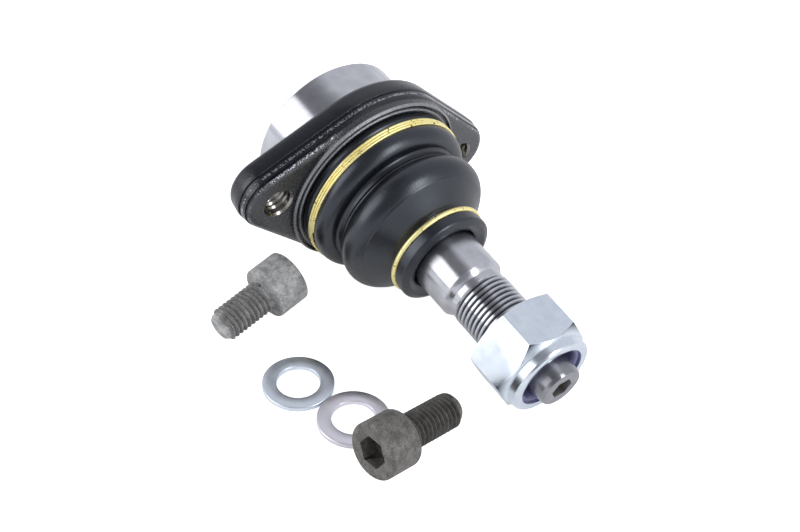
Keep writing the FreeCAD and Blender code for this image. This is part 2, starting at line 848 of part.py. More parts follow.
def make_lock_nut():
    """Hexagon nut with a crown bevel, and a collar rolled over the insert."""
    body = new_body("lock_nut")
    corner = nut_corner
    outside = corner + 1.0
    face = nut_face_radius
    recess = insert_outer + size.insert_clearance
    collar = recess + size.nut_collar_wall
    bore_radius = size.thread_radius + size.nut_thread_clearance
    lip = size.thread_radius + size.nut_lip_step
    recess_end = nut_end - size.nut_lip_thickness
    recess_start = insert_start - size.insert_clearance

    sketch = outline(body, "HexagonOutline", "YZ_Plane", hexagon(size.nut_width))
    lift_sketch(sketch, size.nut_back)
    pad(body, "Hexagon", sketch, size.nut_hex_length)
    cut_ring(body, "Crown", [
        Corner(nut_face - size.nut_crown_length, corner),
        Corner(nut_face, face),
        Corner(nut_face, outside),
        Corner(nut_face - size.nut_crown_length, outside),
    ])
    cut_ring(body, "BackBevel", [
        Corner(size.nut_back, face),
        Corner(size.nut_back, outside),
        Corner(size.nut_back + size.nut_back_bevel, outside),
        Corner(size.nut_back + size.nut_back_bevel, corner),
    ])
    revolve(body, "Collar", [
        Corner(nut_face - 1.0, ZERO),
        Corner(nut_face - 1.0, collar),
        Corner(nut_end - size.nut_collar_round, collar),
        Corner(nut_end - size.nut_collar_round_flat,
               collar - size.nut_collar_round_flat),
        Corner(nut_end, collar - size.nut_collar_round),
        Corner(nut_end, ZERO),
    ])
    cut_ring(body, "Bore", [
        Corner(size.nut_back, ZERO),
        Corner(size.nut_back, bore_radius + size.nut_countersink),
        Corner(size.nut_back + size.nut_countersink, bore_radius),
        Corner(recess_start, bore_radius),
        Corner(recess_start, recess),
        Corner(recess_end, recess),
        Corner(recess_end, lip),
        Corner(nut_end, lip),
        Corner(nut_end, ZERO),
    ])
    return body


def make_nut_insert():
    """Nylon ring that the thread bites into, held under the nut's collar."""
    body = new_body("nut_insert")
    grip = size.thread_radius - size.insert_grip
    revolve(body, "Ring", [
        Corner(insert_start, grip),
        Corner(insert_start, insert_outer),
        Corner(insert_start + size.insert_length, insert_outer),
        Corner(insert_start + size.insert_length, grip),
    ])
    return body


def make_cap_screw(label, length):
    """Socket head cap screw along x, its head's seat at zero and its head
    towards +x. The thread is left at its outer diameter."""
    body = new_body(label)
    head = size.screw_head_radius
    bevel = size.screw_head_bevel
    seat_bevel = size.screw_seat_bevel
    top = size.screw_head_length
    revolve(body, "Screw", [
        Corner(-length, ZERO),
        Corner(-length, size.screw_radius - size.screw_end_bevel),
        Corner(-(length - size.screw_end_bevel), size.screw_radius),
        Corner(-size.screw_fillet, size.screw_radius),
        Corner(ZERO, size.screw_radius + size.screw_fillet),
        Corner(ZERO, head - seat_bevel),
        Corner(seat_bevel, head),
        Corner(top - bevel, head),
        Corner(top, head - bevel),
        Corner(top, ZERO),
    ])
    sketch = outline(body, "SocketOutline", "YZ_Plane", hexagon(size.screw_socket_width))
    lift_sketch(sketch, top)
    pocket(body, "Socket", sketch, size.screw_socket_depth)
    floor = top - size.screw_socket_depth
    cut_ring(body, "SocketPoint", [
        Corner(floor, ZERO),
        Corner(floor, size.screw_socket_width / 2.0),
        Corner(floor - size.screw_socket_cone, ZERO),
    ])
    return body


def lay_screw(body, length, along, beside, yaw):
    """Lays a screw on the table, on its head's edge and its thread's end."""
    tip = Vector(math.cos(math.radians(yaw)), math.sin(math.radians(yaw)), 0)
    drop = size.screw_head_radius.number - size.screw_radius.number
    rise = math.atan(drop / length)
    turn = Rotation(Vector(0, 0, 1), yaw).multiply(
        Rotation(Vector(0, 1, 0), -math.degrees(rise)))
    height = table + size.screw_head_radius.number * math.cos(rise)
    body.Placement = Placement(Vector(along, beside, height), turn)
    return tip


def make_washer(label):
    """Flat washer on its back, z up from the face that it lies on."""
    body = new_body(label)
    sketch = new_sketch(body, "Faces", "XY_Plane")
    for radius in (size.washer_radius, size.washer_bore_radius):
        circle = Part.Circle(Vector(0, 0, 0), Vector(0, 0, 1), radius.number)
        number = sketch.addGeometry(circle, False)
        sketch.addConstraint(Sketcher.Constraint("Coincident", number, 3, -1, 1))
        drive_radius(sketch, number, radius)
    pad(body, "Plate", sketch, size.washer_thickness)

    def on_rim(edge):
        return (isinstance(edge.Curve, Part.Circle) and len(edge.Vertexes) == 1
                and abs(edge.Curve.Radius - size.washer_radius.number) < 1e-6)

    dress(body, "RimBevel", "PartDesign::Chamfer", edges_where(body, on_rim),
          size.washer_bevel)
    return body


insert_outer = size.thread_radius - size.insert_grip + size.insert_wall
insert_start = (nut_end - size.nut_lip_thickness - size.insert_clearance
                - size.insert_length)

on_joint = [make_housing(), make_end_cover(), make_bearing_shell(), make_ball_stud(),
            make_dust_boot(), make_boot_ring_large(), make_boot_ring_small(),
            make_lock_nut(), make_nut_insert()]
for body in on_joint:
    body.Placement = JOINT_PLACE

screw_1 = make_cap_screw("cap_screw_1", size.screw_1_length)
lay_screw(screw_1, SIZES["screw_1_length"], SIZES["screw_1_along"],
          -(flange_middle_radius.number + SIZES["screw_1_beside"]),
          SIZES["screw_1_yaw"])
screw_2 = make_cap_screw("cap_screw_2", size.screw_2_length)
lay_screw(screw_2, SIZES["screw_2_length"], SIZES["screw_2_along"],
          -(flange_middle_radius.number + SIZES["screw_2_beside"]),
          SIZES["screw_2_yaw"])

washer_1 = make_washer("washer_1")
washer_1.Placement = Placement(
    Vector(SIZES["washer_1_along"],
           -(flange_middle_radius.number + SIZES["washer_1_beside"]), table),
    Rotation())
washer_2 = make_washer("washer_2")
spacing = 2.0 * SIZES["washer_radius"] + SIZES["washer_gap"]
bearing = math.radians(SIZES["washer_line_angle"])
washer_2.Placement = Placement(
    washer_1.Placement.Base + Vector(spacing * math.cos(bearing),
                                     spacing * math.sin(bearing), 0),
    Rotation())

pieces = on_joint + [screw_1, screw_2, washer_1, washer_2]
doc.recompute()

for item in doc.Objects:
    if "Invalid" in item.State or "Error" in item.State:
        raise RuntimeError("%s is not in order: %s" % (item.Label, item.State))
for body in pieces:
    if body.Shape.isNull() or not body.Shape.isValid():
        raise RuntimeError("%s has no valid shape" % body.Label)
    if len(body.Shape.Solids) != 1:
        raise RuntimeError("%s is not one solid" % body.Label)

os.makedirs("parts", exist_ok=True)
for body in pieces:
    body.Shape.exportStep(os.path.join("parts", body.Label + ".step"))
    box = body.Shape.BoundBox
    print("%-16s %8.0f mm3  x %.1f..%.1f  y %.1f..%.1f  z %.1f..%.1f"
          % (body.Label, body.Shape.Volume, box.XMin, box.XMax, box.YMin, box.YMax,
             box.ZMin, box.ZMax))
print("slope of the axis %.2f degrees, table at z = %.2f" % (rest_slope.number, table))
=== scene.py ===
# %% [markdown]
# # A ball joint for a car's suspension
# The frame is loaded first: thirteen rigid pieces in metres, with the ball's
# centre at the origin, the table below it and the joint lying on its flange
# and its nut. Everything made here is placed from that frame.

# %% Load the frame
import json
import math
import bpy
from mathutils import Matrix, Vector


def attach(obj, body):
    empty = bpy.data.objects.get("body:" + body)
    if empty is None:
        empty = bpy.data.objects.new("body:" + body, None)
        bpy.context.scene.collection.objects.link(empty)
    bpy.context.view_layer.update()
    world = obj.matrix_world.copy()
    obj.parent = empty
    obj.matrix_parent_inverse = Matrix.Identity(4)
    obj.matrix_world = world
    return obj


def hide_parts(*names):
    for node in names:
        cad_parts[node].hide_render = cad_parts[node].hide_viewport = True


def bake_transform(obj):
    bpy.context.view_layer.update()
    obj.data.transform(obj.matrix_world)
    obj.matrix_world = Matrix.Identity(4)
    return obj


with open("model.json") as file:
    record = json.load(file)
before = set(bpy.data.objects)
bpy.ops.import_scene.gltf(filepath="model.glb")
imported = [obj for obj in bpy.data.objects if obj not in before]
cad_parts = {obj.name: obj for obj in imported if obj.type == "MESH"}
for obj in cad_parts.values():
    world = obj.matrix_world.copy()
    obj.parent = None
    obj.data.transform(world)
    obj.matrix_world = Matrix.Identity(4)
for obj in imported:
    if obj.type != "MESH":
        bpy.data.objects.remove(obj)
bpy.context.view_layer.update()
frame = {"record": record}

MM = 0.001
mounts = {mount["name"]: mount for mount in frame["record"]["mounts"]}

# %% [markdown]
# The joint's axis leans down towards the stud's end. A piece of the joint is
# modelled along X from the ball's centre and then turned by that angle, so
# that its sizes read like a drawing's. The loose pieces stand on the table.

# %% The joint's axis and the table
axis = Vector(mounts["ball_centre"]["axis"])
slope = math.atan2(-axis.z, axis.x)
joint_turn = Matrix.Rotation(slope, 4, "Y")
washer_thickness = mounts["washer_1_hole"]["dims"]["length_mm"] * MM
table_z = mounts["washer_1_hole"]["pos_m"][2] - washer_thickness / 2
print("the axis slopes down", round(math.degrees(slope), 2), "degrees")
print("the table lies", round(-table_z / MM, 2), "mm below the ball's centre")

# %% [markdown]
# ## Camera
# The photograph was taken from above and in front of the stud's end, with a
# lens a little longer than a normal one. The camera's place was worked out
# from the outlines of the flange, the boot, the nut, the screws and the
# washers together.

# %% Camera
camera_data = bpy.data.cameras.new("camera")
camera_data.lens = 61.07
camera_data.sensor_width = 36.0
camera_data.clip_start = 0.01
camera_data.clip_end = 20.0
camera = bpy.data.objects.new("camera", camera_data)
bpy.context.scene.collection.objects.link(camera)
camera_right = Vector((0.60174, 0.79760, 0.04166)).normalized()
camera_forward = Vector((-0.59174, 0.48020, -0.64749)).normalized()
camera_up = camera_right.cross(camera_forward)
camera_place = Vector((0.259361, -0.195510, 0.239478))
camera.matrix_world = Matrix((
    (camera_right.x, camera_up.x, -camera_forward.x, camera_place.x),
    (camera_right.y, camera_up.y, -camera_forward.y, camera_place.y),
    (camera_right.z, camera_up.z, -camera_forward.z, camera_place.z),
    (0, 0, 0, 1)))
bpy.context.scene.camera = camera
bpy.context.scene.view_settings.view_transform = "Standard"
print("the camera is", round(camera.location.length / MM), "mm from the ball")

# %% [markdown]
# ## Colours and nodes
# Colours are written as the sRGB hex values that a colour picker shows. The
# shader works in linear light, so one function turns them. Another function
# adds a node with its settings and links.

# %% Colour and node helpers
def linear(code):
    """An sRGB hex colour as linear red, green, blue and alpha."""
    channels = [int(code[i:i + 2], 16) / 255 for i in (0, 2, 4)]
    turned = [c / 12.92 if c <= 0.04045 else ((c + 0.055) / 1.055) ** 2.4
              for c in channels]
    return (*turned, 1.0)


def add(tree, kind, sockets=None, **settings):
    """Adds a node; a socket takes a value or a link from another node."""
    made = tree.nodes.new(kind)
    for name, value in settings.items():
        setattr(made, name, value)
    for name, value in (sockets or {}).items():
        if isinstance(value, bpy.types.NodeSocket):
            tree.links.new(value, made.inputs[name])
        else:
            made.inputs[name].default_value = value
    return made


def new_material(name):
    """An empty material with its shader: the material, its tree, the shader."""
    material = bpy.data.materials.new(name)
    material.use_nodes = True
    tree = material.node_tree
    tree.nodes.clear()
    shader = add(tree, "ShaderNodeBsdfPrincipled")
    add(tree, "ShaderNodeOutputMaterial", {"Surface": shader.outputs[0]})
    return material, tree, shader


def link(tree, shader, name, value):
    """Feeds one of a shader's sockets."""
    tree.links.new(value, shader.inputs[name])

# %% [markdown]
# A pattern on a turned piece needs to know how far along the joint's axis a
# point is and how far from it. The Mapping node turns the object's own
# coordinates back by the slope, and the rest is Pythagoras.

# %% Along and out from the joint's axis
def joint_coordinates(tree):
    """Sockets: the turned coordinates, the length along, the radius."""
    place = add(tree, "ShaderNodeTexCoord").outputs["Object"]
    turned = add(tree, "ShaderNodeMapping", {
        "Vector": place, "Rotation": (0.0, -slope, 0.0)}).outputs[0]
    split = add(tree, "ShaderNodeSeparateXYZ", {0: turned})
    across = add(tree, "ShaderNodeCombineXYZ", {
        "X": 0.0, "Y": split.outputs["Y"], "Z": split.outputs["Z"]})
    radius = add(tree, "ShaderNodeVectorMath", {0: across.outputs[0]},
                 operation="LENGTH").outputs["Value"]
    return turned, split.outputs["X"], radius


def above(tree, value, level, soft=0.04 * MM):
    """1 where a value is over a level, 0 below it, with a short ramp."""
    return add(tree, "ShaderNodeMapRange", {
        "Value": value, "From Min": level - soft, "From Max": level + soft,
        "To Min": 0.0, "To Max": 1.0}).outputs["Result"]


def combine(tree, how, first, second):
    """A Math node on two sockets or values."""
    return add(tree, "ShaderNodeMath", {0: first, 1: second},
               operation=how).outputs[0]


def below(tree, value, level, soft=0.04 * MM):
    """1 where a value is under a level, 0 over it."""
    return combine(tree, "SUBTRACT", 1.0, above(tree, value, level, soft))


def between(tree, value, low, high, soft=0.04 * MM):
    """1 where a value lies between two levels."""
    return combine(tree, "SUBTRACT", above(tree, value, low, soft),
                   above(tree, value, high, soft))


def mix_colours(tree, factor, first, second):
    """A colour between two colours or sockets."""
    node = tree.nodes.new("ShaderNodeMix")
    node.data_type = "RGBA"
    for socket, value in ((node.inputs[0], factor), (node.inputs[6], first),
                          (node.inputs[7], second)):
        if isinstance(value, bpy.types.NodeSocket):
            tree.links.new(value, socket)
        else:
            socket.default_value = value
    return node.outputs[2]


def mix_values(tree, factor, first, second):
    """A number between two numbers or sockets."""
    node = tree.nodes.new("ShaderNodeMix")
    for socket, value in ((node.inputs[0], factor), (node.inputs[2], first),
                          (node.inputs[3], second)):
        if isinstance(value, bpy.types.NodeSocket):
            tree.links.new(value, socket)
        else:
            socket.default_value = value
    return node.outputs[0]


def noise(tree, place, size, detail=3.0, roughness=0.6):
    """Cloudy noise whose patches are about size metres across."""
    return add(tree, "ShaderNodeTexNoise", {
        "Vector": place, "Scale": 1.0 / size, "Detail": detail,
        "Roughness": roughness}).outputs["Fac"]


def bump(tree, height, depth, under=None):
    """A normal from a height map of values 0 to 1 and its depth in metres.
    It can lie on another normal, which is given as the one under it."""
    sockets = {"Height": height, "Distance": depth, "Strength": 1.0}
    if under is not None:
        sockets["Normal"] = under
    return add(tree, "ShaderNodeBump", sockets).outputs[0]

# %% [markdown]
# ## Turned steel
# The spigot, the shank and the pilot are turned or ground from steel. The
# tool leaves fine grooves round the piece, some hundredths of a millimetre
# apart. Grooves that fine don't show here, so they are drawn 0.12 mm apart,
# as noise that changes along the axis only. They widen the reflections
# along the axis and keep them sharp round it. The thread's grooves are
# coloured darker towards the root as painted shade, and the pilot and its
# socket are left as the lathe and the punch made them, duller than the
# ground shank.

# %% Turned steel
def turning_lines(tree, along, pitch=0.12 * MM):
    """Noise of the length along the axis alone, one value per groove."""
    stretched = add(tree, "ShaderNodeCombineXYZ", {"X": along, "Y": 0.0, "Z": 0.0})
    return noise(tree, stretched.outputs[0], pitch, detail=2.0)


def grain_along(tree, shader):
    """Turned or ground grooves run round the axis, so they spread what they
    mirror along it. The small sideways part gives the end faces a direction."""
    grain = Vector((math.cos(slope), 0.02, -math.sin(slope)))
    turned = add(tree, "ShaderNodeVectorTransform", {"Vector": grain},
                 vector_type="VECTOR", convert_from="OBJECT", convert_to="WORLD")
    link(tree, shader, "Tangent", turned.outputs[0])


steel_bright = linear("D2D3D8")
steel_grey = linear("A9AAB0")
painted_groove_shade = linear("4E4E52")
turned_dull = linear("5C5C60")
punched_dull = linear("7E7C7A")
groove_shade_reach = 8.45 * MM
thread_begins = 55.6 * MM
thread_ends = 81.4 * MM
pilot_begins = 81.3 * MM
socket_floor = 84 * MM
socket_mouth = 90.75 * MM
socket_reach = 3.6 * MM


def ground_steel():
    """Alloy steel, ground on the shank and turned elsewhere."""
    material, tree, shader = new_material("ground_alloy_steel")
    turned, along, radius = joint_coordinates(tree)
    lines = turning_lines(tree, along)
    patches = noise(tree, turned, 4 * MM, detail=4.0)
    colour = mix_colours(tree, patches, steel_grey, steel_bright)
    # Painted shade: the thread's grooves are coloured darker near the root.
    groove = below(tree, radius, groove_shade_reach, 0.25 * MM)
    threaded = between(tree, along, thread_begins, thread_ends)
    groove_shade = combine(tree, "MULTIPLY", groove, threaded)
    colour = mix_colours(tree, groove_shade, colour, painted_groove_shade)
    pilot = above(tree, along, pilot_begins)
    colour = mix_colours(tree, combine(tree, "MULTIPLY", pilot, 0.55), colour, turned_dull)
    deep = combine(tree, "SUBTRACT", above(tree, along, socket_floor),
                   above(tree, along, socket_mouth, 0.1 * MM))
    in_socket = combine(tree, "MULTIPLY", deep, below(tree, radius, socket_reach))
    colour = mix_colours(tree, in_socket, colour, punched_dull)
    link(tree, shader, "Base Color", colour)
    shader.inputs["Metallic"].default_value = 1.0
    link(tree, shader, "Roughness", mix_values(tree, patches, 0.2, 0.3))
    link(tree, shader, "Normal", bump(tree, lines, 0.004 * MM))
    grain_along(tree, shader)
    shader.inputs["Anisotropic"].default_value = 0.8
    return material


stud_steel = ground_steel()
print("made", stud_steel.name)

# %% [markdown]
# ## Painted forging
# The housing is forged and dipped in black paint. The spigot and the two
# ear holes are machined after that and stay bright. Forging scale under the
# paint leaves a grain of about half a millimetre, which is coarser on the
# flange's front face, so the gloss breaks up into sparks. The ridge in the
# flange's edge, the rim of its front face and the collar's two rims get
# painted highlights: broken specks of bright bare steel in the colour.

# %% Painted forging
edge_ridge = 0.6 * MM
face_rim = 2.7 * MM
flange_back = -7.5 * MM
flank_begins = 28.9 * MM
collar_begins = 4.3 * MM
collar_rim = (27.9 * MM, 28.6 * MM)
groove_rim = (26.4 * MM, 26.95 * MM)
spigot_radius = mounts["spigot"]["dims"]["r_mm"] * MM
spigot_end = -21.5 * MM
spigot_rim_width = 0.55 * MM
bolt_circle = mounts["flange_bolts"]["dims"]["pcd_mm"] * MM
bolt_hole_radius = mounts["flange_bolts"]["dims"]["hole_r_mm"] * MM
thread_depth = 0.62 * MM
bolt_lean = math.radians(10)
paint_black = linear("0A0C11")
paint_grey = linear("171C25")
face_painted_sheen = linear("3A3D42")
rim_shade = linear("6A6A6E")
tapped_steel = linear("96938E")


def bolt_hole_centre(side):
    """The middle of a bolt hole in the joint's own coordinates."""
    reach = side * bolt_circle / 2
    return Vector((0, reach * math.cos(bolt_lean), -reach * math.sin(bolt_lean)))


def housing_paint():
    """Black paint, bright where it was turned after painting."""
    material, tree, shader = new_material("black_paint_on_forged_steel")
    turned, along, radius = joint_coordinates(tree)
    split = add(tree, "ShaderNodeSeparateXYZ", {0: turned})
    across = add(tree, "ShaderNodeCombineXYZ", {
        "X": 0.0, "Y": split.outputs["Y"], "Z": split.outputs["Z"]}).outputs[0]

    inside = below(tree, radius, spigot_radius + 0.3 * MM)
    spigot = combine(tree, "MULTIPLY", below(tree, along, flange_back), inside)
    spigot_rim = below(tree, along, spigot_end + spigot_rim_width, 0.06 * MM)
    in_hole = 0.0
    for side in (1, -1):
        away = add(tree, "ShaderNodeVectorMath", {0: across, 1: bolt_hole_centre(side)},
                   operation="DISTANCE").outputs["Value"]
        hole = below(tree, away, bolt_hole_radius + thread_depth)
        in_hole = combine(tree, "MAXIMUM", in_hole, hole)
    turned_steel = combine(tree, "MAXIMUM", spigot, in_hole)

    grain = noise(tree, turned, 0.45 * MM, detail=2.0, roughness=0.5)
    scale = noise(tree, turned, 1.6 * MM, detail=3.0)
    # Painted highlights: broken specks of bright steel on the flange's edge lines and the
    # collar's rims.
    ridge = between(tree, along, edge_ridge - 0.35 * MM, edge_ridge + 0.35 * MM, 0.1 * MM)
    rim = between(tree, along, face_rim - 0.3 * MM, face_rim + 0.25 * MM, 0.1 * MM)
    edges = combine(tree, "MAXIMUM", ridge, rim)
    sparks = above(tree, grain, 0.52, 0.03)
    highlight_breaks = above(tree, noise(tree, turned, 6 * MM, detail=2.0), 0.45, 0.06)
    painted_edge_highlights = combine(tree, "MULTIPLY", edges, above(tree, radius, flank_begins))
    painted_edge_highlights = combine(tree, "MULTIPLY", painted_edge_highlights, sparks)
    painted_edge_highlights = combine(tree, "MULTIPLY", painted_edge_highlights, highlight_breaks)
    collar = combine(tree, "MAXIMUM", between(tree, radius, *collar_rim),
                     between(tree, radius, *groove_rim))
    collar = combine(tree, "MULTIPLY", collar, above(tree, along, collar_begins))
    painted_edge_highlights = combine(tree, "MAXIMUM", painted_edge_highlights, combine(tree, "MULTIPLY", collar, 0.45))

    face = above(tree, along, face_rim - 0.2 * MM)
    paint = mix_colours(tree, scale, paint_black, paint_grey)
    # Painted sheen: the flange's front face is coloured a lighter grey where it mirrors the
    # lit table.
    paint = mix_colours(tree, combine(tree, "MULTIPLY", face, 0.2), paint, face_painted_sheen)
    paint = mix_colours(tree, combine(tree, "MULTIPLY", painted_edge_highlights, 0.7), paint, steel_bright)
    steel = mix_colours(tree, noise(tree, turned, 5 * MM), steel_grey, steel_bright)
    steel = mix_colours(tree, combine(tree, "MULTIPLY", spigot_rim, 0.6), steel, rim_shade)
    steel = mix_colours(tree, in_hole, steel, tapped_steel)
    link(tree, shader, "Base Color", mix_colours(tree, turned_steel, paint, steel))
    metal = combine(tree, "MAXIMUM", turned_steel, combine(tree, "MULTIPLY", painted_edge_highlights, 0.8))
    link(tree, shader, "Metallic", metal)
    gloss = mix_values(tree, face, mix_values(tree, grain, 0.1, 0.22),
                       mix_values(tree, grain, 0.18, 0.34))
    link(tree, shader, "Roughness", mix_values(tree, turned_steel, gloss, 0.22))
    link(tree, shader, "Specular IOR Level", mix_values(tree, face, 0.55, 1.0))
    grain_along(tree, shader)
    link(tree, shader, "Anisotropic", combine(tree, "MULTIPLY", turned_steel, 0.75))
    peel = mix_values(tree, turned_steel, mix_values(tree, 0.35, grain, scale), 0.5)
    grained = bump(tree, peel, mix_values(tree, face, 0.13 * MM, 0.28 * MM))
    grooves = combine(tree, "MULTIPLY", turning_lines(tree, along), turned_steel)
    link(tree, shader, "Normal", bump(tree, grooves, 0.004 * MM, under=grained))
    return material


paint = housing_paint()
print("made", paint.name)

# %% [markdown]
# ## Rubber, wire, zinc, phosphate and plastic
# Each of the other finishes is one function. The boot is chloroprene rubber
# from a polished mould: nearly black, with a satin skin that mirrors a
# little bluish, and some dust. The rings are spring wire, zinc plated and
# yellow passivated. The nut and the washers are zinc plated with a blue
# tint, and the outer part of the nut's turned cone has a painted dark
# reflection in its colour. The screws are phosphated, which is a crust of
# matte grey crystals that drinks oil. The ring in the nut is nylon.

# %% Rubber
def boot_rubber():
    """Satin black rubber: a soft wide gloss, faint patches, dust."""
    material, tree, shader = new_material("chloroprene_rubber")
    turned = joint_coordinates(tree)[0]
    patches = noise(tree, turned, 6 * MM, detail=5.0)
    skin = noise(tree, turned, 0.4 * MM, detail=3.0)
    dust_spacing = 1.7 * MM
    dust = add(tree, "ShaderNodeTexVoronoi", {
        "Vector": turned, "Scale": 1 / dust_spacing, "Randomness": 1.0}).outputs["Distance"]
    rare = above(tree, noise(tree, turned, 3.5 * MM), 0.55, 0.02)
    speck = combine(tree, "MULTIPLY", below(tree, dust, 0.085, 0.02), rare)
    rubber = mix_colours(tree, patches, linear("07090D"), linear("0F1218"))
    dusty = mix_colours(tree, combine(tree, "MULTIPLY", speck, 0.5), rubber,
                        linear("6F7278"))
    link(tree, shader, "Base Color", dusty)
    link(tree, shader, "Roughness", mix_values(tree, patches, 0.25, 0.35))
    shader.inputs["Specular IOR Level"].default_value = 0.85
    shader.inputs["Specular Tint"].default_value = linear("E6EDF8")
    link(tree, shader, "Normal", bump(tree, skin, 0.012 * MM))
    return material


rubber = boot_rubber()
print("made", rubber.name)

# %% Wire, zinc and nylon
CROWN_START = (80.7, 17)
CROWN_END = (83.0, 13.9)


def painted_reflection_on_cone(tree, along, radius):
    """1 on the outer part of the nut's turned cone, where its painted dark
    reflection goes. The cone's half section runs from CROWN_START to
    CROWN_END, in mm along and out."""
    slant = (CROWN_END[0] - CROWN_START[0]) / (CROWN_START[1] - CROWN_END[1])
    level = (CROWN_START[0] + CROWN_START[1] * slant - 0.05) * MM
    reach = combine(tree, "ADD", along, combine(tree, "MULTIPLY", radius, slant))
    cone = above(tree, reach, level, 0.03 * MM)
    return combine(tree, "MULTIPLY", cone, above(tree, radius, 14.3 * MM, 0.9 * MM))


def plated(name, low, high, smooth, rough, spots=None, painted_cone_reflection=None):
    """A plated metal: two tints in patches, with its own gloss. Spots are
    stains in a colour. The last colour is a painted dark reflection on the
    outer part of the nut's turned cone."""
    material, tree, shader = new_material(name)
    turned, along, radius = joint_coordinates(tree)
    patches = noise(tree, turned, 3 * MM, detail=5.0)
    fine = noise(tree, turned, 0.3 * MM, detail=2.0)
    colour = mix_colours(tree, patches, linear(low), linear(high))
    if spots:
        stain = above(tree, noise(tree, turned, 1.1 * MM, detail=4.0), 0.635, 0.012)
        colour = mix_colours(tree, stain, colour, linear(spots))
    # A painted dark reflection on the outer part of the nut's turned cone.
    if painted_cone_reflection:
        colour = mix_colours(tree, painted_reflection_on_cone(tree, along, radius), colour, linear(painted_cone_reflection))
    link(tree, shader, "Base Color", colour)
    shader.inputs["Metallic"].default_value = 1.0
    link(tree, shader, "Roughness", mix_values(tree, patches, smooth, rough))
    link(tree, shader, "Normal", bump(tree, fine, 0.006 * MM))
    return material


gold_wire = plated("yellow_passivated_spring_wire", "FBE780", "FFFACC", 0.4, 0.55,
                   spots="4A3A14")
# The nut's zinc carries a painted dark reflection on its turned cone.
nut_zinc = plated("blue_passivated_zinc_on_the_nut", "C3CCD8", "E6EDF4", 0.16, 0.3,
                  painted_cone_reflection="39424C")
washer_zinc = plated("blue_passivated_zinc_on_a_washer", "CAD3DF", "EEF3FA", 0.28, 0.4)
washer_zinc_warm = plated("older_zinc_on_a_washer", "D6D4DE", "F4F2F8", 0.28, 0.4)
cover_steel = plated("pressed_steel_sheet", "8E9094", "B2B4B8", 0.3, 0.45)
for metal in (gold_wire, nut_zinc, washer_zinc, washer_zinc_warm, cover_steel):
    print("made", metal.name)


def plastic(name, low, high, rough):
    """A moulded or turned plastic with slight patches."""
    material, tree, shader = new_material(name)
    turned = joint_coordinates(tree)[0]
    patches = noise(tree, turned, 2 * MM)
    link(tree, shader, "Base Color", mix_colours(tree, patches, linear(low), linear(high)))
    link(tree, shader, "Roughness", mix_values(tree, patches, rough - 0.08, rough + 0.08))
    shader.inputs["IOR"].default_value = 1.53
    link(tree, shader, "Normal", bump(tree, noise(tree, turned, 0.3 * MM), 0.01 * MM))
    return material


nylon = plastic("pale_blue_nylon", "64628F", "8D8BB6", 0.42)
acetal = plastic("natural_acetal", "D9D6C8", "E6E3D8", 0.4)
print("made", nylon.name, acetal.name)

# %% [markdown]
# Phosphate crystals are a few hundredths of a millimetre; they are drawn a
# quarter of a millimetre across, as coarse as they need to show. One screw
# is drier and lighter than the other, and the threads, which hold the most
# oil, are darker than the heads.

# %% Phosphate
def phosphate(name, low, high):
    """A matte crust of crystals on steel, speckled light and dark."""
    material, tree, shader = new_material(name)
    place = add(tree, "ShaderNodeTexCoord").outputs["Object"]
    crystals = noise(tree, place, 0.26 * MM, detail=2.0, roughness=0.7)
    clouds = noise(tree, place, 2.4 * MM, detail=5.0, roughness=0.7)
    patches = above(tree, clouds, 0.5, 0.14)
    speckle = above(tree, crystals, 0.5, 0.14)
    colour = mix_colours(tree, speckle, linear(low), linear(high))
    shade = mix_colours(tree, patches, linear("6E6E6E"), linear("FFFFFF"))
    shaded = tree.nodes.new("ShaderNodeMix")
    shaded.data_type = "RGBA"
    shaded.blend_type = "MULTIPLY"
    shaded.inputs[0].default_value = 0.6
    tree.links.new(colour, shaded.inputs[6])
    tree.links.new(shade, shaded.inputs[7])
    link(tree, shader, "Base Color", shaded.outputs[2])
    shader.inputs["Metallic"].default_value = 0.35
    link(tree, shader, "Roughness", mix_values(tree, speckle, 0.5, 0.7))
    link(tree, shader, "Normal", bump(tree, crystals, 0.1 * MM))
    return material


phosphate_light = phosphate("dry_zinc_phosphate", "9E9E9D", "D6D6D5")
phosphate_dark = phosphate("oiled_manganese_phosphate", "5B5955", "96938E")
thread_light = phosphate("zinc_phosphate_on_a_rolled_thread", "72716F", "ABAAA8")
thread_dark = phosphate("manganese_phosphate_on_a_rolled_thread", "464440", "77746F")
for crust in (phosphate_light, phosphate_dark, thread_light, thread_dark):
    print("made", crust.name)

# %% [markdown]
# ## Turned pieces
# Most pieces here come off a lathe, so they are made as on one: a single
# point is extruded along the half section of the piece and then spun once
# round the axis. A hexagonal bar cuts the sockets in the screws and in the
# stud, and the flats of the nut. The spun mesh has its doubles merged and
# its faces turned outwards. A narrow bevel on every hard edge gives the
# edge its thin line of light.

# %% The lathe
JOINT_SIDES = 96


def only(piece):
    """Makes a piece the one that is selected and active."""
    bpy.ops.object.select_all(action="DESELECT")
    piece.select_set(True)
    bpy.context.view_layer.objects.active = piece


